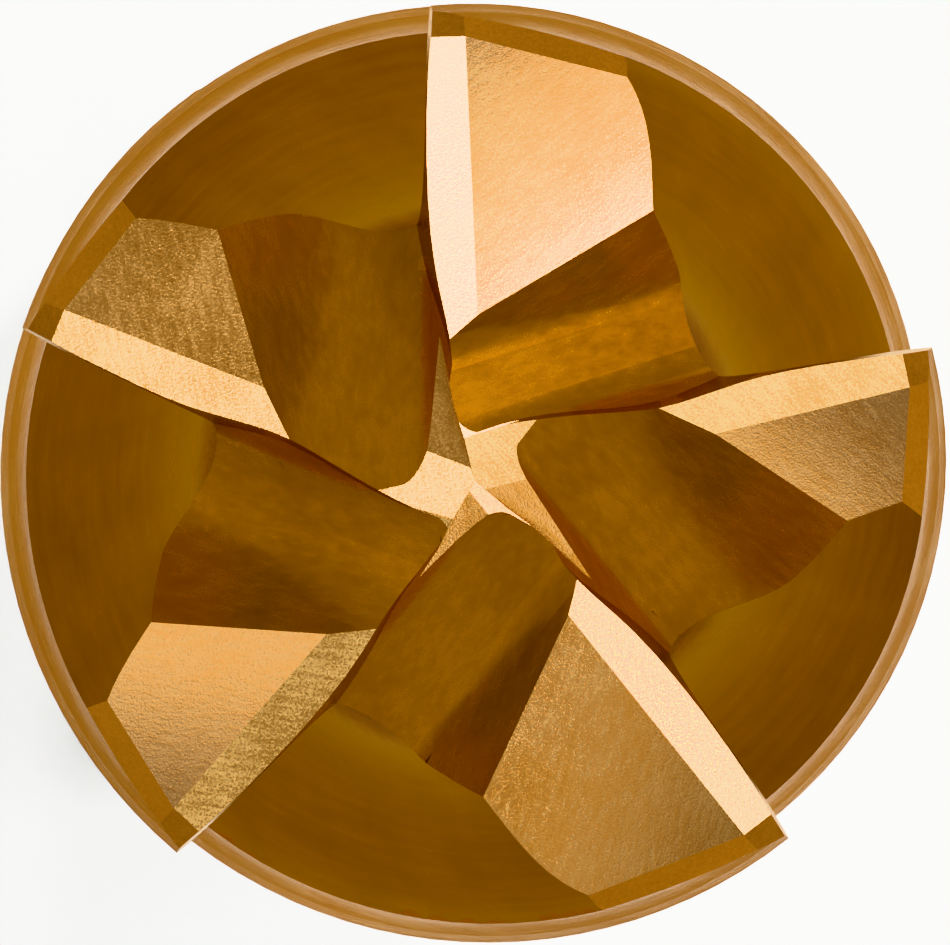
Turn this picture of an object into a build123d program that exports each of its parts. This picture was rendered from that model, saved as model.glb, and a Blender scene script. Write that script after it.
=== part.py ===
from build123d import *
import os
from math import radians, degrees, sin, cos, tan

os.makedirs("parts", exist_ok=True)

# ---- driving dimensions (mm, +Z toward the cutting end, origin on the shank's rear face) ----
cut_d = 22.0                 # diameter over the cutting corners
shank_d = cut_d - 2.0        # ground shank, h6
shank_len = 80.0             # length of the shank
head_len = 32.0              # head length ahead of the shank's front face
neck_len = 3.5               # plain neck between the shank and the flutes
runout_len = 6.5             # length over which the flutes run out to the neck
helix_deg = 38.0             # right-hand helix angle at the cutting diameter

R = cut_d / 2
z_end = shank_len + head_len
lead_per_rad = R / tan(radians(helix_deg))      # axial travel for one radian of helix

# ---- the five teeth: corner angle, land width, back-wall angle (degrees), unequal spacing ----
corner_deg = [15.9, 95.0, 161.1, 231.1, 311.0]
land_deg = [19.6, 22.8, 18.8, 19.6, 22.6]
back_deg = [24.9, 34.0, 26.4, 27.6, 34.0]
short_teeth = (0, 2)         # teeth whose inner edge stops short of the centre

# ---- flute section: radii as shares of the cutting radius, angles from a tooth corner ----
primary_land_deg = 5.2       # width of the primary land round the body
primary_land_r = 0.982       # the primary land has fallen to this at its back
heel_r = 0.943               # radius of the heel behind the secondary land
back_r = 0.75                # middle of the back wall
low_r = 0.60                 # foot of the back wall
low_deg = 10.0               # the foot lies this far beyond the back wall's middle
web_ratio = 0.545            # flute bottom
bottom_shift_deg = 1.0       # the bottom lies this far off the middle of the flute
hook_r = 0.64                # foot of the hooked cutting face
hook_deg = 3.0               # the foot lies this far ahead of the corner
face_r = 0.82                # middle of the cutting face
face_deg = 1.8               # the middle lies this far behind the corner

# ---- end facets, lengths as shares of the cutting radius ----
land_w = 0.077 * R           # width of the primary relief on the end
primary_deg = 8.0            # primary end relief
secondary_deg = 19.0         # secondary end relief
dish_deg = 2.0               # the end edges fall toward the centre
chamfer_w = 0.067 * R        # radial width of the corner chamfer
chamfer_relief_deg = 26.5    # secondary relief of the chamfer
edge_lead = 0.016 * R        # the end edge leads the corner at the chamfer
border_lean_deg = 2.4        # lean of the border between the two end facets
facet_depth = 0.7 * R        # depth of the wedges that carry the facets
facet_room = 2.0             # height of the wedges above the end

# ---- outlines on the end: (outward, forward) of a tooth, as shares of the cutting radius ----
edge_outer = [(1.12, -0.04), (1.0, 0.0), (0.933, 0.016), (0.8, 0.036), (0.6, 0.051), (0.42, 0.045)]
edge_to_centre = [(0.3, 0.030), (0.15, 0.028), (0.0, 0.0)]
edge_stopped = [(0.27, 0.070), (0.14, 0.095), (0.0, 0.095)]
border_to_centre = [(0.09, 0.014), (0.16, 0.030), (0.3, 0.045), (1.45, 0.32)]
border_stopped = [(0.14, 0.097), (0.27, 0.085), (1.45, 0.32)]
meeting_share = (0.09, 0.014)                   # where a stopped edge meets the next tooth's

# ---- gashes ahead of the teeth, lengths as shares of the cutting radius ----
gash_deg = [17.0, 91.0, 161.0, 232.0, 310.0]    # direction of each gash floor
gash_near = [0.09, 0.11, 0.10, 0.06, 0.10]      # front side of each gash floor
gash_far = [0.275, 0.325, 0.30, 0.275, 0.31]    # back side of each gash floor
gash_near_round = [0.07, 0.08, 0.08, 0.07, 0.04]
gash_far_round = [0.10, 0.25, 0.24, 0.10, 0.24]
gash_front_deg = 30.0        # front side of the gash channel from the tool axis
gash_back_deg = 46.0         # back wall of the gash from the tool axis
gash_slope_deg = 28.0        # the gash floor falls outward
gash_draft_deg = 5.0         # the gash wall moves ahead with depth
gash_depth = 0.025 * R       # depth of the gash floors at the centre
gash_edge_depth = 0.12 * R   # depth over which the gash forms the cutting edge
gash_tall = 1.3 * R          # height of the channel the wheel sweeps
gash_run = 1.3 * R           # length of the channel the wheel sweeps
gash_start = 0.1 * R         # the channel begins this far behind the centre
gash_raised = 1.0            # the gash stock begins this far above the end
gash_drop = 1.2 * R          # depth of the gash stock
gash_inner = 0.08 * R        # the gash stock reaches this far past the centre
gash_outer = 1.12 * R        # the gash stock reaches this far outward
gash_reach = 0.9 * R         # the gash stock reaches this far ahead of the edge

# ---- clearances ----
run_gap = 0.05               # radial running clearance of turning pieces
seat_gap = 0.01              # radial gap of the seated cone
seal_gap = 0.01              # radial gap round the sealing rings
pin_gap = 0.03               # radial clearance of the pins in the head
jack_gap = 0.2               # free play of the screw head before it jacks the head off
envelope_gap = 0.2           # the fluted body's outer limit stands this far off the corners
rear_chamfer = 1.5
small_chamfer = 0.4
over = 1.0                   # extra length of a cutting tool beyond the face it cuts

# ---- coupling between head and shank ----
neck_d = shank_d - 0.2       # plain neck behind the flutes
cone_d = 0.65 * shank_d      # seat cone diameter at the shank's front face
cone_deg = 8.0               # half angle of the seat cone
cone_len = 6.0               # axial length of the seat cone
tail_len = 4.0               # cylindrical tail behind the cone
tail_step = 0.05             # the tail is this much smaller in radius than the cone's end
pull_d = 0.3 * shank_d       # pulling thread, nominal
bush_d = pull_d + 1.8        # outside of the brazed bush
bush_len = 13.0              # length of the brazed bush
bush_tip = 1.2               # drill point ahead of the bush
engage = bush_len - 1.5      # thread engagement when the head is seated
pin_d = 0.1 * shank_d        # drive pins
pin_len = 8.0                # full length of a drive pin
pin_out = 3.0                # length of a pin that stands out of the shank
pin_hole = 3.3               # depth of the holes that take the pins
pin_chamfer = 0.3
pin_circle_d = (shank_d + cone_d) / 2           # pitch circle of the drive pins
pin_deg = [70.0, 250.0]      # where the drive pins stand

# ---- screw, sleeve, plug and seals inside the shank ----
bore_d = 0.6 * shank_d       # rear bore of the shank
bore_depth = shank_len - 34.0                   # depth of the rear bore
clear_d = pull_d + 0.6       # clearance bore for the screw's shaft
washer_d = bore_d - 0.4
washer_t = 1.0
screw_head_d = bore_d - 2.0
screw_head_h = 6.0
screw_key = screw_head_d / 2                    # hex key across flats
screw_key_depth = 3.2
screw_chamfer = 0.6
sleeve_len = 8.0
sleeve_key = bore_d * 2 / 3
sleeve_hole_d = screw_key * 1.28                # lets the screw's hex key through
key_depth = 4.0              # depth of the sleeve's and the plug's key sockets
plug_len = 8.0
plug_inset = 1.0             # the plug sits this far inside the rear face
plug_key = bore_d / 2
ring_t = 0.1 * bore_d        # plug ring section
ring_back = 1.0              # wall of the plug ahead of its ring
seal_t = 0.036 * shank_d     # spigot ring section
seal_back = 1.2              # wall of the tail behind its ring
ring_round = 0.3             # rounding of a ring's edges, as a share of its section

# ---- derived ----
edge_phase = (gash_edge_depth * (tan(radians(helix_deg)) + tan(radians(gash_draft_deg)))) / R
cone_small_r = cone_d / 2 - cone_len * tan(radians(cone_deg))
tail_r = cone_small_r - tail_step
spigot_z = shank_len - cone_len - tail_len
runout_z = shank_len + neck_len
web_r = web_ratio * R
neck_r = neck_d / 2
screw_seat_z = bore_depth - washer_t
screw_back_z = screw_seat_z - screw_head_h
screw_tip_z = spigot_z + engage
sleeve_front_z = screw_back_z - jack_gap
sleeve_back_z = sleeve_front_z - sleeve_len
ring_z = plug_inset + plug_len - ring_back - ring_t
seal_z = spigot_z + seal_back


def polar(r, deg):
    return (r * cos(radians(deg)), r * sin(radians(deg)))


def previous_corner(k):
    """Corner angle of the tooth clockwise of tooth k, kept below tooth k's own."""
    return corner_deg[k - 1] - (360 if k == 0 else 0)


def flute_section():
    """Closed outline of the fluted body: land, heel, back wall, flute bottom, cutting face."""
    edges = []
    for k in range(5):
        here = corner_deg[k]
        prev = previous_corner(k)
        pitch = here - prev
        tip = polar(R, here)
        step = polar(primary_land_r * R, here - primary_land_deg)
        heel = polar(heel_r * R, here - land_deg[k])
        wall = polar(back_r * R, here - back_deg[k])
        low = polar(low_r * R, here - back_deg[k] - low_deg)
        bottom = polar(web_r, prev + (pitch - back_deg[k]) / 2 - bottom_shift_deg)
        hook = polar(hook_r * R, prev + hook_deg)
        face = polar(face_r * R, prev - face_deg)
        nxt = polar(R, prev)
        edges.append(Line(tip, step))
        edges.append(Line(step, heel))
        edges.append(Spline(heel, wall, low, bottom, hook, face, nxt))
    return Face(Wire(edges))


def fluted_body():
    """Flute section swept up the helix, its corners in place at the end."""
    length = z_end - runout_z
    turn = degrees(length / lead_per_rad)
    start = degrees(edge_phase) - turn
    face = Pos(0, 0, runout_z) * Rot(0, 0, start) * flute_section()
    return Solid.extrude_linear_with_rotation(face, (0, 0, runout_z), (0, 0, length), turn)


def sector_edge(k):
    """Line just ahead of tooth k where its relief gives way to the next tooth's, from inside out."""
    ex, ey, _ = tooth_axes(k)
    stopped = k in short_teeth
    start = meeting_point(k) if stopped else Vector(0, 0, 0)
    shape = border_stopped if stopped else border_to_centre
    return [start] + [ex * (x * R) + ey * (y * R) for x, y in shape]


def meeting_point(k):
    """Point on the next tooth's inner edge where the inner edge of a short tooth ends."""
    ex, ey, _ = tooth_axes((k + 1) % 5)
    return ex * (meeting_share[0] * R) + ey * (meeting_share[1] * R)


def sector(k):
    """Wedge of the end that carries the relief facets of tooth k."""
    own = sector_edge(k)
    before = sector_edge((k - 1) % 5)
    if k in short_teeth:
        own = [Vector(0, 0, 0)] + own
    if (k - 1) % 5 in short_teeth:
        own = own[1:]
    pts = own + before[::-1]
    if (pts[-1] - pts[0]).length < 0.001:
        pts = pts[:-1]
    base = make_face(Polyline(*[(p.X, p.Y) for p in pts], close=True))
    return Pos(0, 0, z_end - facet_depth) * extrude(base, facet_depth + facet_room)


def tooth_axes(k):
    """Radial and forward (cutting) directions of tooth k."""
    a = radians(corner_deg[k])
    return Vector(cos(a), sin(a), 0), Vector(-sin(a), cos(a), 0), Vector(0, 0, 1)


def space_above(origin, u, v, up):
    """Large block filling the side of the plane (u, v) that faces up."""
    n = u.cross(v)
    n = n if n.dot(up) > 0 else n * -1
    pl = Plane(origin=origin, x_dir=u, z_dir=n)
    return pl.location * (Pos(0, 0, 2 * R) * Box(8 * R, 8 * R, 4 * R))


def relief_facets(k):
    """The four ground facets of tooth k, as the stock that the wheel takes away."""
    ex, ey, ez = tooth_axes(k)
    corner = ez * z_end + ex * (R - chamfer_w) + ey * edge_lead
    along = ex + ez * tan(radians(dish_deg))
    fall = ey + ez * tan(radians(primary_deg))
    cuts = [space_above(corner, along, fall, ez)]
    border = corner - fall * land_w
    along_2 = along - fall * tan(radians(border_lean_deg))
    fall_2 = ey + ez * tan(radians(secondary_deg))
    cuts.append(space_above(border, along_2, fall_2, ez))
    out = (ex + ez).normalized()
    down = ex - ez
    fall_c = ey + out * tan(radians(primary_deg))
    cuts.append(space_above(corner, down, fall_c, out))
    border_c = corner - fall_c * land_w
    fall_d = ey + out * tan(radians(chamfer_relief_deg))
    cuts.append(space_above(border_c, down, fall_d, out))
    return cuts


def edge_curve(k):
    """Cutting edge of tooth k seen from the end: radial and forward shares of the radius."""
    return edge_outer + (edge_stopped if k in short_teeth else edge_to_centre)


def gash_stock(k):
    """Slab ahead of the cutting edge of tooth k, bounded by the edge's own curve."""
    ex, ey, ez = tooth_axes(k)
    draft = tan(radians(gash_draft_deg))
    base = ez * (z_end + gash_raised) - ey * ((gash_raised + chamfer_w) * draft)
    pts = [base + ex * (x * R) + ey * (y * R) for x, y in edge_curve(k)]
    inner = base - ex * gash_inner + ey * gash_reach
    outer = base + ex * gash_outer + ey * gash_reach
    sides = [Line(pts[-1], inner), Line(inner, outer), Line(outer, pts[0])]
    region = Face(Wire([Spline(*pts)] + sides))
    return Solid.extrude(region, ey * (gash_drop * draft) - ez * gash_drop)


def gash_channel(k):
    """Channel of the gashing wheel for tooth k: leaning sides, rounded floor, falling outward."""
    near = gash_near[k] * R
    far = gash_far[k] * R
    lean_near = gash_tall * tan(radians(gash_front_deg))
    lean_far = gash_tall * tan(radians(gash_back_deg))
    tops = [(near - lean_near, gash_tall), (far + lean_far, gash_tall)]
    face = make_face(Polyline(tops[0], (near, 0), (far, 0), tops[1], close=True))
    corners = sorted(face.vertices(), key=lambda v: (v.Y, v.X))
    face = fillet(corners[0], gash_near_round[k] * R)
    corners = sorted(face.vertices(), key=lambda v: (round(v.Y, 3), -v.X))
    face = fillet(corners[0], gash_far_round[k] * R)
    slope = tan(radians(gash_slope_deg))
    forward = Vector(*polar(1, gash_deg[k]), 0)
    side = Vector(*polar(1, gash_deg[k] + 90), 0)
    up = Vector(0, 0, 1)
    origin = up * (z_end - gash_depth + gash_start * slope) - forward * gash_start
    plane = Plane(origin=origin, x_dir=side, z_dir=side.cross(up))
    return Solid.extrude((plane.location * face).face(), (forward - up * slope) * gash_run)


def gash(k):
    """Ground gash ahead of tooth k: curved front wall, rounded floor, sloping back wall."""
    return gash_stock(k) & gash_channel(k)


def runout():
    """Plain neck and the concave ramp on which the flutes run out."""
    rise = neck_r - web_r
    rho = (rise ** 2 + runout_len ** 2) / (2 * rise)
    half = runout_len / 2
    mid_rise = rho - (rho ** 2 - half ** 2) ** 0.5
    top_z = runout_z + runout_len
    ramp = ThreePointArc((neck_r, runout_z), (web_r + mid_rise, top_z - half), (web_r, top_z))
    rest = Polyline((web_r, top_z), (0, top_z), (0, shank_len), (neck_r - small_chamfer, shank_len),
                    (neck_r, shank_len + small_chamfer), (neck_r, runout_z))
    return revolve(Plane.XZ * make_face(ramp + rest), Axis.Z)


def spigot(gap, groove):
    """Cone and tail that enter the shank, grown by gap; the head's own one carries a ring groove."""
    r0 = cone_d / 2 + gap
    r1 = cone_small_r + gap
    r2 = tail_r + gap
    base = shank_len - cone_len
    top = shank_len + over / 2
    pts = [(0, top), (r0, top), (r0, shank_len), (r1, base), (r2, base)]
    if groove:
        deep = tail_r - seal_t
        pts += [(r2, seal_z + seal_t), (deep, seal_z + seal_t), (deep, seal_z), (r2, seal_z)]
        pts += [(r2, spigot_z + small_chamfer), (r2 - small_chamfer, spigot_z), (0, spigot_z)]
    else:
        pts += [(r2, spigot_z - over), (0, spigot_z - over)]
    return revolve(Plane.XZ * make_face(Polyline(*pts, close=True)), Axis.Z)


def envelope():
    """Outer limit of the fluted body, with a chamfer where the lands meet the neck."""
    r = R + envelope_gap
    top = z_end + over
    pts = [(0, runout_z), (neck_r, runout_z), (r, runout_z + r - neck_r), (r, top), (0, top)]
    return revolve(Plane.XZ * make_face(Polyline(*pts, close=True)), Axis.Z)


def cylinder(r, z0, z1):
    return Pos(0, 0, (z0 + z1) / 2) * Cylinder(r, z1 - z0)


def hexagon(flats, z0, z1):
    return Pos(0, 0, z0) * extrude(RegularPolygon(flats / 2, 6, major_radius=False), z1 - z0)


def cutter_head():
    """One-piece head: fluted body with its end ground, neck and spigot, bored for bush and pins."""
    body = fluted_body() & envelope()
    for k in range(5):
        wedge = sector(k)
        for waste in relief_facets(k):
            body = body - (wedge & waste)
    for k in range(5):
        body = body - gash(k)
    body = body + runout() + spigot(0, True)
    bush_end = spigot_z + bush_len
    body = body - cylinder(bush_d / 2, spigot_z - over, bush_end)
    body = body - Pos(0, 0, bush_end + bush_tip / 2) * Cone(bush_d / 2, bush_d / 2 - bush_tip, bush_tip)
    for deg in pin_deg:
        x, y = polar(pin_circle_d / 2, deg)
        hole = cylinder(pin_d / 2 + pin_gap, shank_len - over, shank_len + pin_hole)
        body = body - Pos(x, y, 0) * hole
    return body


def pull_bush():
    """Threaded bush brazed into the head, which the screw pulls on."""
    hole_r = pull_d / 2 + run_gap
    outer = cylinder(bush_d / 2, spigot_z, spigot_z + bush_len)
    bush = outer - cylinder(hole_r, spigot_z - over, spigot_z + bush_len + over)
    mouth = Cone(hole_r + small_chamfer, hole_r, small_chamfer)
    return bush - Pos(0, 0, spigot_z + small_chamfer / 2) * mouth


def ring(outer_r, z0, section):
    """Sealing ring of nearly round section."""
    hole = cylinder(outer_r - section, z0 - over, z0 + section + over)
    body = cylinder(outer_r, z0, z0 + section) - hole
    return fillet(body.edges(), ring_round * section)


def seat_seal():
    return ring(tail_r, seal_z, seal_t)


def shank():
    """Ground shank: rear bore, clearance bore for the screw, seat for the cone, two pin holes."""
    body = cylinder(shank_d / 2, 0, shank_len)
    body = chamfer(body.edges().sort_by(Axis.Z)[0], rear_chamfer)
    body = chamfer(body.edges().sort_by(Axis.Z)[-1], small_chamfer)
    body = body - cylinder(bore_d / 2, -over, bore_depth)
    mouth = Cone(bore_d / 2 + small_chamfer, bore_d / 2, small_chamfer)
    body = body - Pos(0, 0, small_chamfer / 2) * mouth
    body = body - cylinder(clear_d / 2, bore_depth - over, shank_len)
    body = body - spigot(seat_gap, False)
    for deg in pin_deg:
        x, y = polar(pin_circle_d / 2, deg)
        z1 = shank_len + pin_out
        body = body - Pos(x, y, 0) * cylinder(pin_d / 2, z1 - pin_len, z1)
    return body


def drive_pin(deg):
    """Hardened pin pressed into the shank; its chamfered end enters the head."""
    x, y = polar(pin_circle_d / 2, deg)
    z1 = shank_len + pin_out
    pin = Pos(x, y, 0) * cylinder(pin_d / 2, z1 - pin_len, z1)
    return chamfer(pin.edges().sort_by(Axis.Z)[-1], pin_chamfer)


def draw_screw():
    """Socket screw that pulls the head home."""
    head = cylinder(screw_head_d / 2, screw_back_z, screw_seat_z)
    head = chamfer(head.edges().sort_by(Axis.Z)[0], screw_chamfer)
    shaft = cylinder(pull_d / 2, screw_seat_z - over / 2, screw_tip_z)
    shaft = chamfer(shaft.edges().sort_by(Axis.Z)[-1], screw_chamfer)
    socket = hexagon(screw_key, screw_back_z - over, screw_back_z + screw_key_depth)
    return head + shaft - socket


def thrust_washer():
    disc = cylinder(washer_d / 2, screw_seat_z, bore_depth)
    return disc - cylinder(clear_d / 2, screw_seat_z - over, bore_depth + over)


def jack_sleeve():
    """Sleeve behind the screw head, which the screw pushes on to free the head."""
    body = cylinder(bore_d / 2, sleeve_back_z, sleeve_front_z)
    ends = body.edges().group_by(Axis.Z)
    body = chamfer(ends[0] + ends[-1], small_chamfer)
    body = body - cylinder(sleeve_hole_d / 2, sleeve_back_z - over, sleeve_front_z + over)
    return body - hexagon(sleeve_key, sleeve_back_z - over, sleeve_back_z + key_depth)


def rear_plug():
    """Plug in the rear bore, with a key socket and a ring groove."""
    r = bore_d / 2 - run_gap
    groove_r = bore_d / 2 - ring_t
    body = cylinder(r, plug_inset, plug_inset + plug_len)
    ends = body.edges().group_by(Axis.Z)
    body = chamfer(ends[0] + ends[-1], small_chamfer)
    body = body - hexagon(plug_key, plug_inset - over, plug_inset + key_depth)
    groove = cylinder(r + over, ring_z, ring_z + ring_t)
    groove = groove - cylinder(groove_r, ring_z - over, ring_z + ring_t + over)
    return body - groove


def plug_seal():
    return ring(bore_d / 2 - seal_gap, ring_z, ring_t - seal_gap)


nodes = {
    "cutter_head": cutter_head(),
    "pull_bush": pull_bush(),
    "seat_seal": seat_seal(),
    "shank": shank(),
    "drive_pin_1": drive_pin(pin_deg[0]),
    "drive_pin_2": drive_pin(pin_deg[1]),
    "draw_screw": draw_screw(),
    "thrust_washer": thrust_washer(),
    "jack_sleeve": jack_sleeve(),
    "rear_plug": rear_plug(),
    "plug_seal": plug_seal(),
}

for name, shape in nodes.items():
    solids = shape.solids()
    print(name, len(solids), "solid(s)", round(sum(q.volume for q in solids), 1), "mm3")
    export_step(solids[0] if len(solids) == 1 else Compound(solids), "parts/" + name + ".step")
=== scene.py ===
# %% [markdown]
# # A milling head on its shank
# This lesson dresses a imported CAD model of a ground, coated milling head and the steel shank that
# carries it. The CAD says where everything is; the cells below give the pieces their ground, polished,
# turned and moulded finishes, and put a camera and soft lamps over the cutting end.

# %% Start
import math

import bpy
import numpy as np
from mathutils import Matrix, Vector


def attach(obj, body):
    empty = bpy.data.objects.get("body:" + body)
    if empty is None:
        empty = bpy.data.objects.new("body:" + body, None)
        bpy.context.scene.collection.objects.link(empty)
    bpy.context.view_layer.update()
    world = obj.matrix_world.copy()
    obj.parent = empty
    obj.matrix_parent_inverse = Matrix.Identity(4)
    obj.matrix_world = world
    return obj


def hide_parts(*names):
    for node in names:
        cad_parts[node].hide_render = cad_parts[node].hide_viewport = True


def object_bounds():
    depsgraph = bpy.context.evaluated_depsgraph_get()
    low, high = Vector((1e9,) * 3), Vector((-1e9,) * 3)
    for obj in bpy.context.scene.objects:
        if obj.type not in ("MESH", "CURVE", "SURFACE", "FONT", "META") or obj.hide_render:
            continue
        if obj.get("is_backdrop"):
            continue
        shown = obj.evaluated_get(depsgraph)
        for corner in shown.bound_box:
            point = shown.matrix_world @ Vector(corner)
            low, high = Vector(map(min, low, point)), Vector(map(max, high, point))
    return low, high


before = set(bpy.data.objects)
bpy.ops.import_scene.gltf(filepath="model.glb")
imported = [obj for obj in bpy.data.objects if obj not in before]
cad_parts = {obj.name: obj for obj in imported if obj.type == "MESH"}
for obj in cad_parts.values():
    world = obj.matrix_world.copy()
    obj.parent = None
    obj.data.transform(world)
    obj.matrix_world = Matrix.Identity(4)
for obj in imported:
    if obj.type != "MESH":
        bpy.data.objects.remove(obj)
low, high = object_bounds()

# %% [markdown]
# The tool stands on its shank with the cutting end up, so the height of the end plane comes straight
# from the box. The five teeth are not evenly spaced: that breaks up the hum of the cut. The cutting
# radius, the directions of the teeth and gashes and the helix repeat the CAD's own values, because the
# finishes follow each tooth.

# %% Sizes from the frame and the CAD
mm = 0.001
end_z = high.z
cut_r = 11.0 * mm
tooth_deg = [15.9, 95.0, 161.1, 231.1, 311.0]
gash_deg = [17.0, 91.0, 161.0, 232.0, 310.0]
gash_slope_deg = 28.0
helix_deg = 38.0
lead_per_rad = cut_r / math.tan(math.radians(helix_deg))
print("end plane at", round(end_z / mm, 3), "mm, box half width", round((high.x - low.x) / 2 / mm, 3))

# %% [markdown]
# Every finish here is built from shader nodes. A few helpers keep the cells short: they open a new
# finish, add a node and join its inputs, and make a noise of a chosen grain size. Grain is always
# given in millimetres, because that is how a maker thinks about a ground surface.

# %% Shader nodes: materials, nodes and noise
def new_finish(name):
    """A material with its tree and its Principled shader."""
    mat = bpy.data.materials.new(name)
    mat.use_nodes = True
    tree = mat.node_tree
    return mat, tree, tree.nodes["Principled BSDF"]


def add(tree, kind, inputs=(), **settings):
    """A node of that kind. inputs are (socket, value or output socket); settings are its properties."""
    made = tree.nodes.new(kind)
    for key, value in settings.items():
        setattr(made, key, value)
    for socket, value in inputs:
        if isinstance(value, bpy.types.NodeSocket):
            tree.links.new(value, made.inputs[socket])
        else:
            made.inputs[socket].default_value = value
    return made


def grain(tree, vector, size_mm, detail=2.0, rough=0.5):
    """Noise from 0 to 1 whose lumps are about size_mm across, read in millimetre coordinates."""
    made = add(tree, "ShaderNodeTexNoise", [("Vector", vector), ("Scale", 1.0 / size_mm),
                                            ("Detail", detail), ("Roughness", rough)])
    return made.outputs["Fac"]


def between(tree, factor, from_low, from_high, to_low, to_high):
    """Carries a value from one range to another, stopping at the ends."""
    inputs = [("Value", factor), ("From Min", from_low), ("From Max", from_high)]
    inputs += [("To Min", to_low), ("To Max", to_high)]
    made = add(tree, "ShaderNodeMapRange", inputs)
    return made.outputs["Result"]


def tint(tree, factor, first, second):
    """Colour between two, by factor."""
    made = add(tree, "ShaderNodeMix", [(0, factor), (6, (*first, 1)), (7, (*second, 1))], data_type="RGBA")
    return made.outputs[2]


print("materials so far:", len(bpy.data.materials))

# %% [markdown]
# Every pattern is read in object coordinates, scaled to millimetres and, for a piece that stands off
# the tool's axis, counted from the piece's own axis. Ground lines are a noise drawn out one way. The
# relief itself is a stack of bumps, each with a true depth, so lines and droplets add up as they do on
# the real surface.

# %% Coordinates in millimetres, lines and bumps
def millimetres(tree, centre=(0.0, 0.0)):
    """Object coordinates in millimetres, counted from an axis at centre."""
    place = add(tree, "ShaderNodeTexCoord").outputs["Object"]
    shift = (-centre[0] / mm, -centre[1] / mm, 0.0)
    made = add(tree, "ShaderNodeMapping", [("Vector", place), ("Location", shift), ("Scale", (1 / mm,) * 3)])
    return made.outputs["Vector"]


def stretched(tree, vector, scale):
    """A vector with its axes scaled, which draws a noise out into lines."""
    made = add(tree, "ShaderNodeVectorMath", [(0, vector), (1, scale)], operation="MULTIPLY")
    return made.outputs["Vector"]


def bumped(tree, shader, *layers):
    """Stacks bump layers, each (height, depth in mm), and joins them to the shader."""
    last = None
    for height, depth in layers:
        inputs = [("Height", height), ("Distance", depth * mm), ("Strength", 1.0)]
        if last:
            inputs.append(("Normal", last))
        last = add(tree, "ShaderNodeBump", inputs).outputs["Normal"]
    tree.links.new(last, shader.inputs["Normal"])


print("a helper scales object coordinates by", round(1 / mm), "so that sizes are in millimetres")

# %% [markdown]
# The head is one piece of carbide whose shape the CAD already has exactly right, so its surface is
# carried over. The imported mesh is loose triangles; welding the doubled corners makes it one closed
# skin. The smooth and the crisp edges live in the corner normals, so those are carried over as well:
# working them out again from an angle would blur the border between the 8 and 19 degree facets.

# %% Weld the head
def welded(node):
    """Points, triangles and corner normals of a CAD node, with equal points made one."""
    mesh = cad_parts[node].data
    points = np.empty(len(mesh.vertices) * 3, np.float32)
    mesh.vertices.foreach_get("co", points)
    corners = np.empty(len(mesh.loops), np.int32)
    mesh.loops.foreach_get("vertex_index", corners)
    normals = np.empty(len(mesh.loops) * 3, np.float32)
    mesh.corner_normals.foreach_get("vector", normals)
    single, place = np.unique(points.reshape(-1, 3), axis=0, return_inverse=True)
    tris = place.ravel()[corners].reshape(-1, 3)
    whole = (tris[:, 0] != tris[:, 1]) & (tris[:, 1] != tris[:, 2]) & (tris[:, 2] != tris[:, 0])
    return single.astype(float), tris[whole], normals.reshape(-1, 3, 3)[whole].astype(float)


head_points, head_tris, head_normals = welded("cutter_head")
print("head:", len(head_points), "points,", len(head_tris), "triangles")

# %% [markdown]
# A grinder leaves a different surface on each part of a tooth, so the triangles are sorted into zones.
# Each tooth has four flat facets: a narrow primary relief and a wide secondary relief on the end, and
# the same pair on the corner chamfer. A flat facet is known by the way it faces, so its normal is
# worked out from the relief angles and compared. Everything else is told apart by place and slope.

# %% The way the ground facets face
dish_deg, primary_deg, secondary_deg, chamfer_deg, lean_deg = 2.0, 8.0, 19.0, 26.5, 2.4


def rise(deg):
    return math.tan(math.radians(deg))


def tooth_axes(deg):
    """Outward, forward and up directions of a tooth whose corner stands at that angle."""
    a = math.radians(deg)
    return (np.array([math.cos(a), math.sin(a), 0.0]), np.array([-math.sin(a), math.cos(a), 0.0]),
            np.array([0.0, 0.0, 1.0]))


def facet_normals(deg):
    """Normals of the four facets of a tooth: cross products of a line along each and one down it."""
    out, ahead, up = tooth_axes(deg)
    along = out + up * rise(dish_deg)
    slant = (out + up) / math.sqrt(2)
    first = ahead + up * rise(primary_deg)
    pairs = [(along, first), (along - first * rise(lean_deg), ahead + up * rise(secondary_deg)),
             (out - up, ahead + slant * rise(primary_deg)), (out - up, ahead + slant * rise(chamfer_deg))]
    made = np.array([np.cross(a, b) for a, b in pairs])
    made /= np.linalg.norm(made, axis=1)[:, None]
    return made * np.sign(made[:, 2])[:, None]


facets = np.array([facet_normals(deg) for deg in tooth_deg])
print("primary facets lean", np.degrees(np.arccos(facets[:, 0, 2])).round(2), "degrees")

# %% [markdown]
# Now each triangle gets one zone. Lands are the outer faces that look away from the axis, and the neck
# is what lies behind the flutes. A gash floor is a trough, so its walls curve: all their normals are
# square to the direction in which the floor runs, which tells the gash from the flute beside it. The
# facets come last, because they are the surest: their normals must agree to within 1.4 degrees.

# %% Sort the head's triangles into zones
POLISHED, PRIMARY, SECONDARY, CHAMFER, GASH, LAND, NECK = range(7)
land_from = 0.925 * cut_r       # lands lie outside this radius
land_facing = 0.75              # least cosine between a land's normal and straight outward
land_depth = 29 * mm            # lands end this far behind the end plane
flute_depth = 28.4 * mm         # the neck begins this far behind the end plane
gash_depth = 0.9 * cut_r        # gashes end this far behind the end plane
gash_square = 0.03              # most cosine between a gash wall's normal and its floor's run
gash_side = (-0.1 * cut_r, 1.1 * cut_r)
gash_behind = -0.12 * cut_r     # a gash starts this far behind the axis
facet_depth = 4 * mm
facet_match = 0.9997

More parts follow.
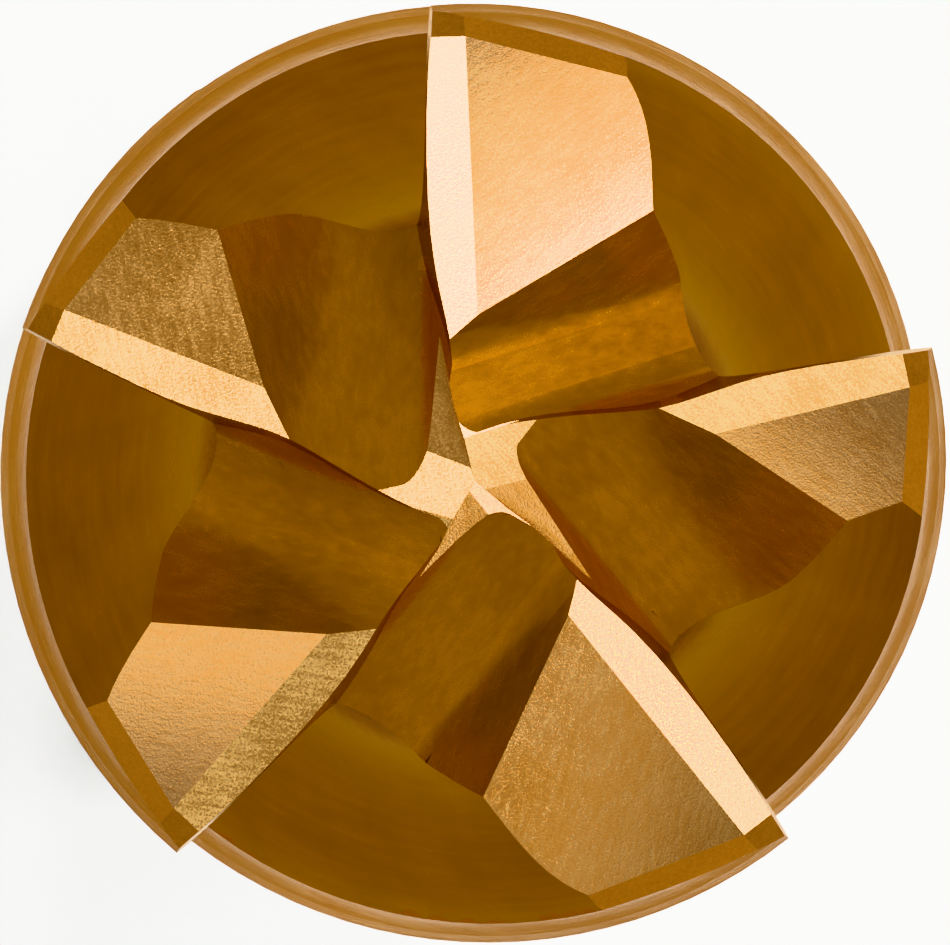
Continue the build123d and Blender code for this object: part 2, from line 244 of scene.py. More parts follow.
centres = head_points[head_tris].mean(axis=1)
face_n = head_normals.mean(axis=1)
face_n /= np.maximum(np.linalg.norm(face_n, axis=1), 1e-20)[:, None]
depth = end_z - centres[:, 2]
reach = np.hypot(centres[:, 0], centres[:, 1])
radial = centres[:, :2] / np.maximum(reach, 1e-9)[:, None]
outward = (face_n[:, :2] * radial).sum(axis=1)
shallowest = (end_z - head_points[head_tris][:, :, 2]).min(axis=1)

zone = np.full(len(head_tris), POLISHED)
owner = np.zeros(len(head_tris), int)
zone[(reach > land_from) & (outward > land_facing) & (depth < land_depth)] = LAND
zone[shallowest > flute_depth] = NECK

for k, deg in enumerate(gash_deg):
    out, _, up = tooth_axes(deg)
    floor_way = out - up * rise(gash_slope_deg)
    floor_way /= np.linalg.norm(floor_way)
    across = centres @ np.cross(up, out)
    inside = (across > gash_side[0]) & (across < gash_side[1]) & (centres @ out > gash_behind)
    square = np.abs(face_n @ floor_way) < gash_square
    hit = square & inside & (depth < gash_depth) & (zone == POLISHED)
    zone[hit], owner[hit] = GASH, k

for place, kind in enumerate((PRIMARY, SECONDARY, CHAMFER, CHAMFER)):
    match = face_n @ facets[:, place].T
    hit = (match.max(axis=1) > facet_match) & (depth < facet_depth)
    zone[hit], owner[hit] = kind, match.argmax(axis=1)[hit]
print("triangles per zone", np.bincount(zone, minlength=7).tolist())

# %% [markdown]
# Grinding leaves lines, and the lines run a different way in each zone: up the helix in the flutes and
# round the lands, straight along each gash, and slantwise over the end facets, where the wheel crosses
# a tooth at about 59 degrees to it. A corner attribute called lay holds, in millimetres, how far a
# point is along the lines and where it is across them. Untwisting a point by the helix makes it stand
# still along a flute, so the pattern has no seam anywhere.

# %% The lay of the grinding lines
wheel_cross_deg = 59.0      # the wheel crosses a tooth at this angle
tooth_shift = 50 * mm       # keeps the noise of one tooth from repeating on the next


def lay_for(points, zones, teeth):
    """For each corner: distance along its lines, then two coordinates across them, in millimetres."""
    turn = -(points[:, 2] - end_z) / lead_per_rad
    c, s = np.cos(turn), np.sin(turn)
    made = np.stack([points[:, 2] / math.cos(math.radians(helix_deg)), c * points[:, 0] - s * points[:, 1],
                     s * points[:, 0] + c * points[:, 1]], axis=1)
    wheel_way = np.radians(np.array(tooth_deg)[teeth] - wheel_cross_deg)
    gash_way = np.radians(np.array(gash_deg)[teeth])
    for zone_ids, way in (((PRIMARY, SECONDARY, CHAMFER), wheel_way), ((GASH,), gash_way)):
        flat = np.isin(zones, zone_ids)
        c, s = np.cos(way[flat]), np.sin(way[flat])
        x, y, z = points[flat].T
        made[flat] = np.stack([c * x + s * y, c * y - s * x, z + tooth_shift * teeth[flat]], axis=1)
    return made / mm


corner_points = head_points[head_tris].reshape(-1, 3)
lay = lay_for(corner_points, np.repeat(zone, 3), np.repeat(owner, 3))
print("lay spans", lay.min(axis=0).round(1).tolist(), "to", lay.max(axis=0).round(1).tolist(), "mm")

# %% [markdown]
# Every finished piece goes into the scene the same way. Its points stay in the shared frame, so the object
# itself sits at the origin, unturned and unscaled. It is told which body carries it and which CAD piece it
# takes the place of.

# %% Put arrays into a mesh
def place_mesh(name, points, faces, body, slot_name, *nodes):
    """An object made from points in metres and faces of point numbers, riding on a body."""
    mesh = bpy.data.meshes.new(name)
    mesh.from_pydata(points.tolist(), [], faces)
    mesh.update()
    piece = bpy.data.objects.new(name, mesh)
    bpy.context.scene.collection.objects.link(piece)
    mesh.polygons.foreach_set("use_smooth", np.ones(len(mesh.polygons), bool))
    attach(piece, body)
    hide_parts(*nodes)
    return piece


print("CAD pieces to dress:", len(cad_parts))

# %% [markdown]
# The rim of a grinding wheel leaves a secondary relief slightly hollow, so a highlight fades across
# its grinding lines instead of filling the facet. The mesh keeps the facet flat; a second attribute
# says how far a corner is from the middle of its facet, across the lines, and the finish bends the
# shading by it.

# %% How far a corner is from the middle of its hollow facet
hollow = np.zeros((len(head_tris), 3))
across_lines = lay[:, 1].reshape(-1, 3)
for k in range(len(tooth_deg)):
    own = (zone == SECONDARY) & (owner == k)
    if own.any():
        middle = (across_lines[own].max() + across_lines[own].min()) / 2
        hollow[own] = across_lines[own] - middle
print("facets are hollow over", round(float(np.abs(hollow).max()) * 2, 2), "mm at most")

# %% [markdown]
# The head can now be placed. Its two attributes go on the corners, so neighbouring zones can disagree
# along a shared edge, and each triangle's zone picks its finish. The carried-over normals are set last,
# so that nothing afterwards smooths them away.

# %% The head's mesh
head = place_mesh("milling_head", head_points, head_tris.tolist(), "head", "coated_carbide", "cutter_head")
lay_layer = head.data.attributes.new("lay", "FLOAT_VECTOR", "CORNER")
lay_layer.data.foreach_set("vector", lay.astype(np.float32).ravel())
hollow_layer = head.data.attributes.new("hollow", "FLOAT", "CORNER")
hollow_layer.data.foreach_set("value", hollow.astype(np.float32).ravel())
head.data.polygons.foreach_set("material_index", zone.astype(np.int32))
head.data.normals_split_custom_set(head_normals.reshape(-1, 3).tolist())
print("head mesh in place,", len(head.data.polygons), "faces")

# %% [markdown]
# The hard coating is a few thousandths of a millimetre of bronze-gold nitride. It copies the carbide below
# it, so it looks dark and deep where the flutes are polished and pale where the end is ground. The roughness
# gives part of that. The rest is painted light and shade in the base colours: each zone of the one coating
# gets its own colour, darker in the flutes and paler on the ground facets, as painted shade and painted
# brightness.
# It is a metal in the shader, and four layers give it life: slow changes of tone, fine lines along the
# lay, a speckle of tiny droplets that every such coating has, and a bump that breaks up reflections.

# %% The coated finishes
line_draw = 0.06            # noise is drawn out along the lay by one over this
tone_mm = 2.6               # size of the slow changes of tone
droplet_mm = 0.055          # size of the coating's droplets
warm_edge = (1.0, 0.75, 0.40)


def coated(name, deep, pale, gloss, line_mm, line_depth, speck_depth, speck_share, wheel_mm=0.0,
           edge_tint=warm_edge, glaze=0.0, metal=1.0):
    """Coated carbide. Tone, lines and droplets are added up, and the sum picks the colour and gloss.

    Depths are in mm, gloss is the roughness at deep and at pale, and wheel_mm is the radius of the
    hollow: half the square of the distance from the middle over that radius is the height.
    """
    mat, tree, shader = new_finish(name)
    place = millimetres(tree)
    along = add(tree, "ShaderNodeAttribute", attribute_name="lay").outputs["Vector"]
    lines = grain(tree, stretched(tree, along, (line_draw, 1.0, 1.0)), line_mm, 3.0, 0.6)
    tone = grain(tree, place, tone_mm, 2.0, 0.55)
    specks = grain(tree, place, droplet_mm, 2.0, 0.7)
    patches = add(tree, "ShaderNodeMath", [(0, tone), (1, lines)], operation="ADD").outputs[0]
    terms = [(0, specks), (1, speck_share), (2, patches)]
    mixed = add(tree, "ShaderNodeMath", terms, operation="MULTIPLY_ADD").outputs[0]
    middle = 1.0 + 0.5 * speck_share
    spread = 0.26 + 0.06 * speck_share
    level = between(tree, mixed, middle - spread, middle + spread, 0.0, 1.0)
    tree.links.new(tint(tree, level, deep, pale), shader.inputs["Base Color"])
    tree.links.new(between(tree, level, 0.0, 1.0, gloss[0], gloss[1]), shader.inputs["Roughness"])
    shader.inputs["Metallic"].default_value = metal
    shader.inputs["Specular Tint"].default_value = (*edge_tint, 1.0)
    shader.inputs["Coat Weight"].default_value = glaze
    shader.inputs["Coat Roughness"].default_value = 0.16
    layers = [(lines, line_depth), (specks, speck_depth)]
    if wheel_mm:
        off = add(tree, "ShaderNodeAttribute", attribute_name="hollow").outputs["Fac"]
        bowl = add(tree, "ShaderNodeMath", [(0, off), (1, off)], operation="MULTIPLY").outputs[0]
        layers.insert(0, (bowl, 0.5 / wheel_mm))
    bumped(tree, shader, *layers)
    return mat


# Painted light and shade: the deep and pale colours of each zone are set darker for the flutes, lands and
# gashes and paler for the ground end facets, to stand for how bright each zone looks under the lamps.
finishes = [
    coated("coat_polished", (0.17, 0.050, 0.003), (0.24, 0.077, 0.005), (0.18, 0.28),
           line_mm=0.22, line_depth=0.0010, speck_depth=0.0008, speck_share=0.3),
    coated("coat_primary", (0.66, 0.33, 0.080), (0.80, 0.50, 0.18), (0.20, 0.34),
           line_mm=0.10, line_depth=0.0020, speck_depth=0.0050, speck_share=1.8, glaze=0.6),
    coated("coat_secondary", (0.64, 0.29, 0.060), (0.77, 0.42, 0.14), (0.18, 0.30),
           line_mm=0.13, line_depth=0.0034, speck_depth=0.0060, speck_share=1.5, wheel_mm=20.0, glaze=0.45),
    coated("coat_chamfer", (0.56, 0.21, 0.024), (0.74, 0.305, 0.048), (0.28, 0.40),
           line_mm=0.10, line_depth=0.0020, speck_depth=0.0040, speck_share=1.2),
    coated("coat_gash", (0.42, 0.145, 0.005), (0.53, 0.198, 0.010), (0.20, 0.30),
           line_mm=0.22, line_depth=0.0016, speck_depth=0.0010, speck_share=0.25, metal=0.80),
    coated("coat_land", (0.22, 0.074, 0.004), (0.30, 0.108, 0.008), (0.22, 0.32),
           line_mm=0.30, line_depth=0.0005, speck_depth=0.0010, speck_share=0.3,
           edge_tint=(0.80, 0.52, 0.22)),
    coated("coat_neck", (0.46, 0.185, 0.018), (0.60, 0.260, 0.040), (0.26, 0.38),
           line_mm=0.14, line_depth=0.0010, speck_depth=0.0018, speck_share=0.6),
]
for finish in finishes:
    head.data.materials.append(finish)
print("head finishes", [m.name for m in finishes])

# %% [markdown]
# The rest of the tool is turned on a lathe, so each piece is a profile carried round an axis. The
# profile is a list of (radius, height) in millimetres. A corner on real turned steel is never quite
# sharp, so every corner is eased: it is replaced by three points of a small curve. A closed profile
# makes a sleeve with a hole; a profile that starts and ends on the axis makes a solid piece.

# %% Profiles
most_ease = 0.3             # an ease takes at most this share of the side beside it


def eased(profile, size, closed):
    """Replaces each corner by three points: one before it, one after it, and their quadratic middle."""
    p = np.array(profile, float)
    before, after = np.roll(p, 1, axis=0) - p, np.roll(p, -1, axis=0) - p
    room_a, room_b = np.linalg.norm(before, axis=1), np.linalg.norm(after, axis=1)
    a = p + before / np.maximum(room_a, 1e-9)[:, None] * np.minimum(size, most_ease * room_a)[:, None]
    b = p + after / np.maximum(room_b, 1e-9)[:, None] * np.minimum(size, most_ease * room_b)[:, None]
    made = np.stack([a, 0.25 * a + 0.5 * p + 0.25 * b, b], axis=1).reshape(-1, 2)
    return made if closed else np.concatenate([p[:1], made[3:-3], p[-1:]])


print("a 0.1 mm ease turns 4 corners into", len(eased([(1, 0), (2, 0), (2, 1), (1, 1)], 0.1, True)), "points")

# %% [markdown]
# Rings of points stacked along the axis make the surface, with quads between neighbouring rings. A
# sleeve joins its last ring to its first. A solid piece ends in a point on the axis, and a ring that
# has shrunk to nothing is left out, because it would only add faces without area. The volume that the
# faces enclose comes out negative when they face inward, and then they are all turned.

# %% Turned surfaces
crisp_deg = 34.0            # edges that bend by more than this stay crisp


def rings(radii, heights, centre=(0.0, 0.0)):
    """Points of one ring per row: radius times cosine and sine of the angle, shifted to centre."""
    turns = np.linspace(0, 2 * math.pi, radii.shape[1], endpoint=False)
    x = radii * np.cos(turns) + centre[0]
    y = radii * np.sin(turns) + centre[1]
    return np.stack([x, y, np.broadcast_to(heights[:, None], radii.shape)], axis=2)


def enclosed(points, groups):
    """Signed volume: a sixth of the sum of triple products over the triangles of a fan of each face."""
    total = 0.0
    for faces in groups:
        first = points[faces[:, 0]]
        for j in range(1, faces.shape[1] - 1):
            total += (first * np.cross(points[faces[:, j]], points[faces[:, j + 1]])).sum() / 6
    return total


def turned(name, radii, heights, closed, body, slot_name, node, centre=(0.0, 0.0)):
    """Joins neighbouring rings by quads. Closed joins last to first; open ends in a point on the axis."""
    poles = [[*centre, heights[0]], [*centre, heights[-1]]]
    if not closed:
        wide = radii.max(axis=1) > 0
        radii, heights = radii[wide], heights[wide]
    rows, cols = radii.shape
    points = rings(radii, heights, centre).reshape(-1, 3)
    this = np.arange(rows if closed else rows - 1)[:, None] * cols + np.arange(cols)
    up = (this + cols) % (rows * cols)
    beside, both = np.roll(this, -1, axis=1), np.roll(up, -1, axis=1)
    groups = [np.stack([this, beside, both, up], axis=2).reshape(-1, 4)]
    if not closed:
        ring = np.arange(cols)
        following = np.roll(ring, -1)
        tail = (rows - 1) * cols
        points = np.concatenate([points, poles])
        groups.append(np.stack([np.full(cols, rows * cols), following, ring], axis=1))
        groups.append(np.stack([np.full(cols, rows * cols + 1), tail + ring, tail + following], axis=1))
    volume = enclosed(points, groups)
    if volume < 0:
        groups = [faces[:, ::-1] for faces in groups]
    faces = [face for group in groups for face in group.tolist()]
    made = place_mesh(name, points * mm, faces, body, slot_name, node)
    made.data.set_sharp_from_angle(angle=math.radians(crisp_deg))
    print(name, len(faces), "faces,", round(abs(volume), 1), "mm3")
    return made


trial = [np.array([[0, 2, 1], [0, 1, 3], [1, 2, 3], [0, 3, 2]])]
print("a unit corner encloses", round(enclosed(np.vstack([np.zeros(3), np.eye(3)]), trial), 4))

# %% [markdown]
# Threads and key sockets are not plain rings. A thread is a ring whose radius swells and shrinks with
# the angle and the height together; the crest climbs one pitch per turn. A hexagon socket is a ring
# whose radius is half the distance across flats divided by the cosine of the angle off the flat.

# %% Threads and hexagons
def hex_row(flats, cols):
    """Half the flats over the cosine of the angle from the middle of the nearest flat."""
    turns = np.linspace(0, 2 * math.pi, cols, endpoint=False)
    return flats / 2 / np.cos(turns % (math.pi / 3) - math.pi / 6)


def threaded(z0, z1, root, crest, cols, pitch=1.0, per_turn=10):
    """Rows of a thread from z0 to z1: a clipped triangle wave of height over pitch minus the turn."""
    heights = np.linspace(z0, z1, int(abs(z1 - z0) / pitch * per_turn) + 1)
    turns = np.linspace(0, 1, cols, endpoint=False)
    wave = 1 - np.abs(2 * ((heights[:, None] / pitch - turns) % 1.0) - 1)
    flank = np.clip(1.4 * wave - 0.2, 0, 1)
    fade = np.clip(np.minimum(np.abs(heights - z0), np.abs(z1 - heights)) / pitch, 0, 1)[:, None]
    plain = max(root, crest) if crest > root else min(root, crest)
    return plain + (root + (crest - root) * flank - plain) * fade, heights


def stack(cols, *parts):
    """Rows from parts: a profile array of (radius, height), or a ready (radii, heights) pair."""
    radii, heights = [], []
    for part in parts:
        if isinstance(part, tuple):
            radii.append(part[0])
            heights.append(part[1])
        else:
            radii.append(np.repeat(part[:, :1], cols, axis=1))
            heights.append(part[:, 1])
    return np.concatenate(radii), np.concatenate(heights)


print("M6 thread rows over 24 mm:", threaded(58, 82, 2.4, 2.98, 96)[0].shape)

# %% [markdown]
# The sizes that several of the steel pieces share are named once, as radii and as heights above the
# shank's rear face, in millimetres. They repeat the CAD's values. The seat narrows by its 8 degree taper
# over six millimetres. Outside threads stand a few hundredths of a millimetre inside their CAD walls,
# so a crest never pokes through its neighbour.

# %% Sizes the steel pieces share
shank_r, shank_top = 10.0, 80.0
rear_edge, front_edge = 1.5, 0.4
cone_r, cone_drop, cone_slope = 6.5, 6.0, 8.0
cone_small = cone_r - cone_drop * rise(cone_slope)
seat_foot = shank_top - cone_drop
seat_end = 69.0
bore_r, bore_top = 6.0, 46.0
clear_r = 3.3
washer_foot = 45.0
print("the seat narrows to", round(cone_small, 3), "mm radius")

# %% [markdown]
# The shank is hardened steel, ground to 20 mm. Its rear bore is threaded for the jack sleeve and the
# plug, then comes the clearance bore for the screw, and at the front the seat that the head's cone is
# pulled into. One closed profile holds all of it, with the thread rows set in the rear bore.

# %% The shank
thread_r, thread_top = 6.4, 42.0
shank_outside = [(thread_r, 0.0), (shank_r - rear_edge, 0.0), (shank_r, rear_edge),
                 (shank_r, shank_top - front_edge), (shank_r - front_edge, shank_top),
                 (cone_r + 0.01, shank_top), (cone_small + 0.01, seat_foot), (cone_small - 0.04, seat_foot),
                 (cone_small - 0.04, seat_end), (clear_r, seat_end), (clear_r, bore_top),
                 (bore_r, bore_top), (bore_r, thread_top)]
cols = 128
bore_thread = threaded(thread_top - 0.2, 1.2, thread_r, bore_r, cols)
lip = np.array([(bore_r, 0.9), (bore_r, 0.4)])
radii, heights = stack(cols, eased(shank_outside, 0.12, True), bore_thread, lip)
shank = turned("shank_body", radii, heights, True, "holder", "ground_steel", "shank")

# %% [markdown]
# Two hardened pins stand out of the shank's front face and drive the head round. They are short, with
# a chamfer that leads them into the head. They stand off the tool axis, so their rings are shifted.

# %% The drive pins
pin_deg = [70.0, 250.0]
pin_circle_r = 8.25
pin_r, pin_foot, pin_top, pin_edge = 0.99, 75.0, 83.0, 0.3
pin_spots = [(pin_circle_r * math.cos(math.radians(deg)), pin_circle_r * math.sin(math.radians(deg)))
             for deg in pin_deg]
pin_profile = eased([(0, pin_foot), (pin_r, pin_foot), (pin_r, pin_top - pin_edge),
                     (pin_r - pin_edge, pin_top), (0, pin_top)], 0.08, False)
pins = []
for number, spot in enumerate(pin_spots, 1):
    radii, heights = stack(48, pin_profile)
    pins.append(turned(f"pin_{number}", radii, heights, False, "holder", "bright_steel",
                       f"drive_pin_{number}", spot))

# %% [markdown]
# The screw that pulls the head home is an M6 socket screw with a plain shaft behind its thread. The bush that
# it pulls on is brazed into the head. Both threads use the same wave, so the crest of one lies in the groove
# of the other at rest, and the screw moves one pitch per turn.

# %% The screw and its bush
cols = 96
crest_r, screw_foot, screw_top, head_r = 2.97, 39.0, 81.5, 5.0
tip = np.array([(0.0, screw_top), (2.2, screw_top), (2.4, screw_top - 0.2), (2.75, screw_top - 0.6)])
screw_thread = threaded(screw_top - 0.8, 57.8, 2.42, crest_r, cols)
shaft = eased([(2.75, 57.6), (crest_r, 57.2), (crest_r, 45.4), (3.2, washer_foot), (4.8, washer_foot),
               (head_r, 44.8), (head_r, 39.6), (4.4, screw_foot), (3.2, screw_foot)], 0.1, False)
socket = (np.stack([hex_row(5.16, cols), hex_row(5.0, cols), hex_row(5.0, cols), hex_row(1.2, cols)]),
          screw_foot + np.array([0.0, 0.15, 3.2, 3.2]))
radii, heights = stack(cols, tip, screw_thread, shaft, socket)
screw = turned("pull_screw", radii, heights, False, "screw", "black_oxide", "draw_screw")

bush_r, bush_hole, bush_foot, bush_top = 3.9, 3.45, 70.0, 83.0
bush_outside = eased([(bush_hole, bush_top), (bush_r, bush_top), (bush_r, bush_foot),
                      (bush_hole, bush_foot)], 0.1, True)
bush_thread = threaded(bush_foot + 0.4, bush_top - 0.4, 3.5, 3.06, cols)
radii, heights = stack(cols, bush_outside, bush_thread)
bush = turned("thread_bush", radii, heights, True, "head", "bright_steel", "pull_bush")

# %% [markdown]
# Behind the screw head sit a washer and the jack sleeve. When the screw is turned back, its head
# pushes on the sleeve and the cone lets go. The sleeve has a wide hexagon for its own key and a hole
# that lets the screw's key through.

# %% Washer and sleeve
cols = 96
washer_r = 5.8
washer_profile = eased([(clear_r, washer_foot), (washer_r, washer_foot), (washer_r, bore_top),
                        (clear_r, bore_top)], 0.12, True)
radii, heights = stack(cols, washer_profile)
washer = turned("washer", radii, heights, True, "holder", "bright_steel", "thrust_washer")

sleeve_r, sleeve_foot, sleeve_top = 5.98, 30.8, 38.8
sleeve_edge = sleeve_r - 0.4
sleeve_key = (np.stack([hex_row(8.2, cols), hex_row(8.0, cols), hex_row(8.0, cols)]),
              sleeve_foot + np.array([0.0, 0.15, 4.0]))
sleeve_hole = np.array([(3.2, sleeve_foot + 4.0), (3.2, sleeve_top - 0.1), (3.3, sleeve_top)])
sleeve_end = eased([(3.6, sleeve_top), (sleeve_edge, sleeve_top), (sleeve_r, sleeve_top - 0.4),
                    (sleeve_r, sleeve_top - 0.9)], 0.08, False)
sleeve_thread = threaded(sleeve_foot + 6.9, sleeve_foot + 1.0, 5.66, sleeve_r, cols)
sleeve_back = eased([(sleeve_r, sleeve_foot + 0.8), (sleeve_r, sleeve_foot + 0.4),
                     (sleeve_edge, sleeve_foot), (5.0, sleeve_foot)], 0.08, False)
radii, heights = stack(cols, sleeve_key, sleeve_hole, sleeve_end, sleeve_thread, sleeve_back)
sleeve = turned("sleeve", radii, heights, True, "holder", "black_oxide", "jack_sleeve")

# %% [markdown]
# The plug closes the bore at the back and keeps coolant and chips off the screw. It screws in behind
# the sleeve, has a six millimetre hexagon, and carries its ring in a groove near its front end.

# %% The plug
plug_r, plug_foot, plug_top = 5.95, 1.0, 9.0
plug_edge = plug_r - 0.4
groove_r, groove_foot, groove_top = 4.8, 6.8, 8.0
plug_front = eased([(0, plug_top), (plug_edge, plug_top), (plug_r, plug_top - 0.4), (plug_r, groove_top),
                    (groove_r, groove_top), (groove_r, groove_foot), (plug_r, groove_foot),
                    (plug_r, groove_foot - 0.5)], 0.06, False)
plug_thread = threaded(groove_foot - 0.6, plug_foot + 0.8, 5.6, plug_r - 0.01, cols)
plug_back = eased([(plug_r, plug_foot + 0.7), (plug_r, plug_foot + 0.4), (plug_edge, plug_foot),
                   (3.6, plug_foot)], 0.08, False)
plug_key = (np.stack([hex_row(6.2, cols), hex_row(6.0, cols), hex_row(6.0, cols), hex_row(1.2, cols)]),
            plug_foot + np.array([0.0, 0.15, 4.0, 4.0]))
radii, heights = stack(cols, plug_front, plug_thread, plug_back, plug_key)
plug = turned("plug", radii, heights, False, "plug", "black_oxide", "rear_plug")

# %% [markdown]
# The two sealing rings are moulded rubber. Each is nearly round in section but a little flattened by
# its groove. A superellipse gives that: a circle whose cosine and sine are raised to a power below one.

# %% The sealing rings
def seal_profile(inner, outer, z0, z1, squareness=0.62, steps=28):
    """Superellipse: half sizes times the signed cosine and sine raised to squareness."""
    t = np.linspace(0, 2 * math.pi, steps, endpoint=False)
    wide = np.sign(np.cos(t)) * np.abs(np.cos(t)) ** squareness
    tall = np.sign(np.sin(t)) * np.abs(np.sin(t)) ** squareness
    r = (inner + outer) / 2 + (outer - inner) / 2 * wide
    z = (z0 + z1) / 2 + (z1 - z0) / 2 * tall
    return np.stack([r, z], axis=1)


cols = 128
radii, heights = stack(cols, seal_profile(groove_r, bore_r - 0.01, groove_foot, groove_top - 0.01))
plug_ring = turned("plug_ring", radii, heights, True, "plug", "seal_rubber", "plug_seal")
tail_r, seat_ring_foot, seat_ring_t = cone_small - 0.05, 71.2, 0.72
seat_profile = seal_profile(tail_r - seat_ring_t, tail_r, seat_ring_foot, seat_ring_foot + seat_ring_t)
radii, heights = stack(cols, seat_profile)
seat_ring = turned("seat_ring", radii, heights, True, "head", "seal_rubber", "seat_seal")

# %% [markdown]
# Turned and ground steel has fine lines that go round the axis. On the outside they change with
# height, on an end face with the distance from the axis, so the pattern reads those two and nothing
# else: the same finish then suits every side of a turned piece, and it has no seam.

# %% Turned steel, black oxide and rubber
stain_mm, pit_mm = 7.0, 0.09
shade_low, shade_high = 0.65, 1.35      # where the sum of the two noises nearly always lies


def turned_metal(name, dark, light, gloss, line_mm, line_depth, pit_depth, centre=(0.0, 0.0), metal=1.0):
    """Lines from noise on (distance from axis, height); slow stains and fine pits change the gloss."""
    mat, tree, shader = new_finish(name)
    place = millimetres(tree, (centre[0] * mm, centre[1] * mm))
    flat = stretched(tree, place, (1.0, 1.0, 0.0))
    away = add(tree, "ShaderNodeVectorMath", [(0, flat)], operation="LENGTH").outputs["Value"]
    height = add(tree, "ShaderNodeSeparateXYZ", [("Vector", place)]).outputs["Z"]
    round_axis = add(tree, "ShaderNodeCombineXYZ", [("X", away), ("Y", height)]).outputs["Vector"]
    lines = grain(tree, round_axis, line_mm, 4.0, 0.65)
    stains = grain(tree, place, stain_mm, 3.0, 0.6)
    pits = grain(tree, place, pit_mm, 2.0, 0.6)
    shade = add(tree, "ShaderNodeMath", [(0, lines), (1, stains)], operation="ADD").outputs[0]
    level = between(tree, shade, shade_low, shade_high, 0.0, 1.0)
    tree.links.new(tint(tree, level, dark, light), shader.inputs["Base Color"])
    tree.links.new(between(tree, level, 0.0, 1.0, gloss[0], gloss[1]), shader.inputs["Roughness"])
    shader.inputs["Metallic"].default_value = metal
    bumped(tree, shader, (lines, line_depth), (pits, pit_depth))
    return mat


def dress(finish, *pieces):
    """Gives one finish to each piece."""
    for piece in pieces:
        piece.data.materials.append(finish)


hard_dark, hard_light = (0.58, 0.58, 0.57), (0.74, 0.74, 0.73)
dress(turned_metal("steel_ground", (0.50, 0.50, 0.485), (0.66, 0.66, 0.64), (0.22, 0.36),
                   line_mm=0.12, line_depth=0.0012, pit_depth=0.0008), shank)
dress(turned_metal("steel_bright", hard_dark, hard_light, (0.16, 0.28),
                   line_mm=0.10, line_depth=0.0008, pit_depth=0.0005), bush, washer)
for piece, spot in zip(pins, pin_spots):
    dress(turned_metal("steel_" + piece.name, hard_dark, hard_light, (0.14, 0.26),
                       line_mm=0.08, line_depth=0.0006, pit_depth=0.0005, centre=spot), piece)
dress(turned_metal("oxide_black", (0.030, 0.031, 0.036), (0.085, 0.083, 0.080), (0.32, 0.50),
                   line_mm=0.14, line_depth=0.0014, pit_depth=0.0022, metal=0.85), screw, sleeve, plug)
dress(turned_metal("rubber_moulded", (0.010, 0.010, 0.011), (0.022, 0.022, 0.023), (0.42, 0.60),
                   line_mm=0.30, line_depth=0.0006, pit_depth=0.0030, metal=0.0), plug_ring, seat_ring)
print("finishes in the scene:", len(bpy.data.materials))

# %% [markdown]
# The tool stands on a pale sheet. A plain white plane looks dead, so the sheet has the faint mottle and
# tooth of matt card. It is one wide square on the stage, not part of the tool.

# %% The floor
side = 1.6
under = -0.05 * mm          # just below the rear face, so that the two never share a plane
fibre_mm, mottle_mm = 0.6, 60.0
corners = [(-side, -side, under), (side, -side, under), (side, side, under), (-side, side, under)]
floor_mesh = bpy.data.meshes.new("floor_sheet")
floor_mesh.from_pydata(corners, [], [(0, 1, 2, 3)])
floor = bpy.data.objects.new("floor_sheet", floor_mesh)
bpy.context.scene.collection.objects.link(floor)
mat, tree, shader = new_finish("card_matt")
place = millimetres(tree)
fibres = grain(tree, place, fibre_mm, 3.0, 0.6)
mottle = grain(tree, place, mottle_mm, 2.0, 0.5)
shade = add(tree, "ShaderNodeMath", [(0, fibres), (1, mottle)], operation="ADD").outputs[0]
card = tint(tree, between(tree, shade, 0.6, 1.4, 0.0, 1.0), (0.80, 0.80, 0.79), (0.86, 0.86, 0.855))
tree.links.new(card, shader.inputs["Base Color"])
shader.inputs["Roughness"].default_value = 0.85
bumped(tree, shader, (fibres, 0.01))
floor_mesh.materials.append(mat)
floor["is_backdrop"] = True
print("floor", 2 * side, "m square")

# %% [markdown]
# Polished metal shows its surroundings, so the lamps are the picture. The facets of each tooth lean a
# different way, and each mirrors one patch of the sky: 16 degrees off vertical for a primary facet and
# 38 degrees for a secondary one. The softboxes are placed on those patches. A box is given by the
# direction it comes from, its size and its brightness, and its power follows from them.

# %% Soft boxes
def from_above(azimuth, off_axis, distance):
    """Point at that compass angle and that far off the tool's axis, seen from the cutting end."""
    a, o = math.radians(azimuth), math.radians(off_axis)
    return Vector((math.cos(a) * math.sin(o), math.sin(a) * math.sin(o), math.cos(o))) * distance


def softbox(name, azimuth, off_axis, size, brightness, distance=0.6):
    """Square lamp facing the cutting end; power is pi times its area times its brightness."""
    lamp = bpy.data.lights.new(name, "AREA")
    lamp.size = size
    lamp.energy = math.pi * size * size * brightness
    made = bpy.data.objects.new(name, lamp)
    way = from_above(azimuth, off_axis, distance)
    made.location = Vector((0, 0, end_z)) + way
    made.rotation_euler = way.to_track_quat("Z", "Y").to_euler()
    bpy.context.scene.collection.objects.link(made)
    return made


softbox("box_right", azimuth=0, off_axis=43, size=0.26, brightness=2.3)
softbox("box_right_bright", azimuth=24, off_axis=30, size=0.08, brightness=70.0)
softbox("box_right_near_axis", azimuth=5, off_axis=15, size=0.10, brightness=40.0)
softbox("box_upper_left", azimuth=141, off_axis=40, size=0.22, brightness=1.7)
softbox("box_lower_left", azimuth=221, off_axis=17, size=0.09, brightness=19.0)
softbox("box_lower_left_far", azimuth=215, off_axis=44, size=0.22, brightness=0.55)
softbox("box_below", azimuth=-74, off_axis=28, size=0.30, brightness=1.5)
softbox("box_above", azimuth=71, off_axis=15, size=0.09, brightness=0.4)

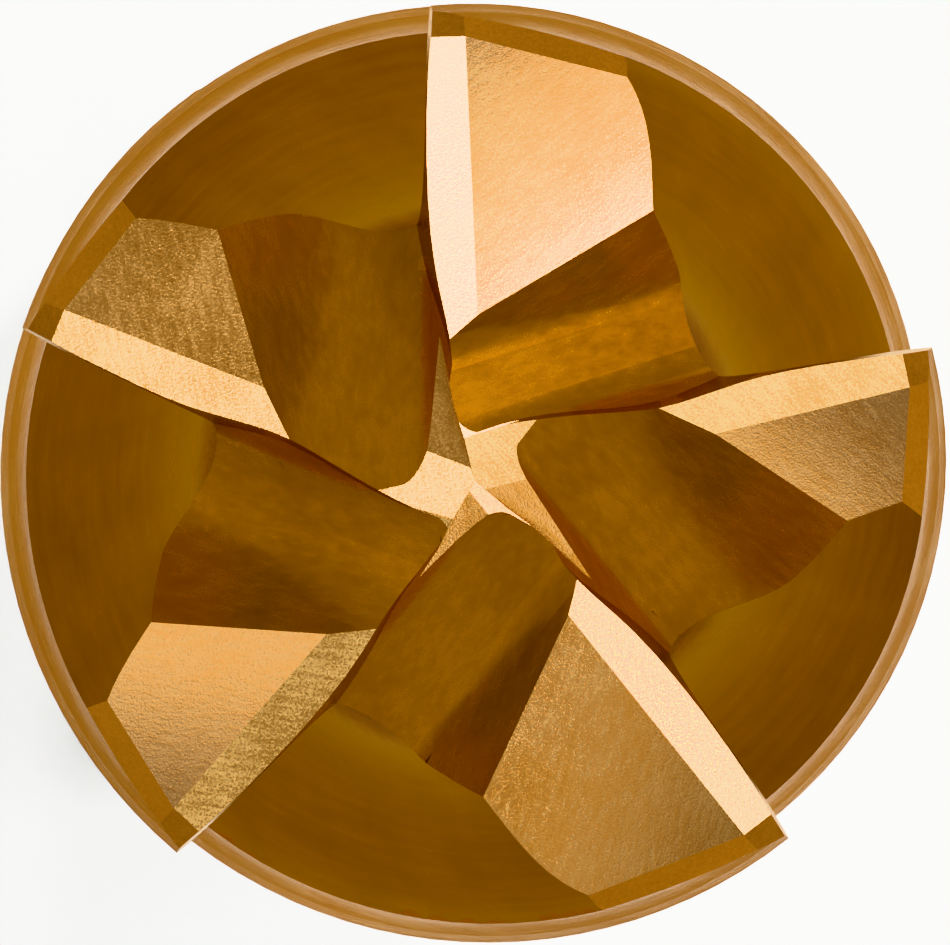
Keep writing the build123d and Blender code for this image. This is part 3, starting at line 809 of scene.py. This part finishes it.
# %% [markdown]
# Five narrow lamps light only the sheet round the foot of the shank, so the ground behind the tool is
# white while the flutes, which mirror the sheet farther out, stay deep. The strongest comes from
# the upper right, and all are low enough that their beams pass under the head.

# %% Lamps for the sheet
def foot_lamp(name, azimuth, power, off_axis=32.0, distance=0.5, beam_deg=8.0):
    """Narrow spot aimed at the middle of the foot."""
    lamp = bpy.data.lights.new(name, "SPOT")
    lamp.energy = power
    lamp.spot_size = math.radians(beam_deg)
    lamp.spot_blend = 0.7
    lamp.shadow_soft_size = 0.03
    made = bpy.data.objects.new(name, lamp)
    way = from_above(azimuth, off_axis, distance)
    made.location = way
    made.rotation_euler = way.to_track_quat("Z", "Y").to_euler()
    bpy.context.scene.collection.objects.link(made)
    return made


for azimuth, power in ((45, 16.0), (0, 6.0), (90, 6.0), (180, 3.0), (270, 3.0)):
    foot_lamp(f"foot_{azimuth}", azimuth, power)
world = bpy.data.worlds.new("room")
bpy.context.scene.world = world
world.use_nodes = True
world.node_tree.nodes["Background"].inputs["Color"].default_value = (0.31, 0.305, 0.295, 1)

# %% [markdown]
# The camera looks down on the cutting end from a long way off, with a long lens, a little to one side,
# so the round outline stays round and a sliver of the lands shows on the upper left.

# %% The camera
lens_data = bpy.data.cameras.new("camera")
camera = bpy.data.objects.new("camera", lens_data)
bpy.context.scene.collection.objects.link(camera)
bpy.context.scene.camera = camera
far_off = 56 * cut_r        # distance from the end plane
seen_wide = 1.987 * cut_r   # width of the picture at the end plane
film_mm = 36.0
aim = Vector((0, 0.018 * cut_r, end_z))
stand = Vector((-0.67 * cut_r, 0.87 * cut_r, end_z + far_off))
back = (stand - aim).normalized()
right = Vector((0, 1, 0)).cross(back).normalized()
above = back.cross(right)
camera.matrix_world = Matrix((right, above, back)).transposed().to_4x4()
camera.location = stand
lens_data.sensor_width = film_mm
lens_data.lens = film_mm * far_off / seen_wide
lens_data.clip_start = 0.05
bpy.context.scene.view_settings.view_transform = "Khronos PBR Neutral"
print("lens", round(lens_data.lens, 1), "mm at", round((stand - aim).length, 3), "m")

# %% Finish
low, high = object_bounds()
print("visual box", [list(low), list(high)])
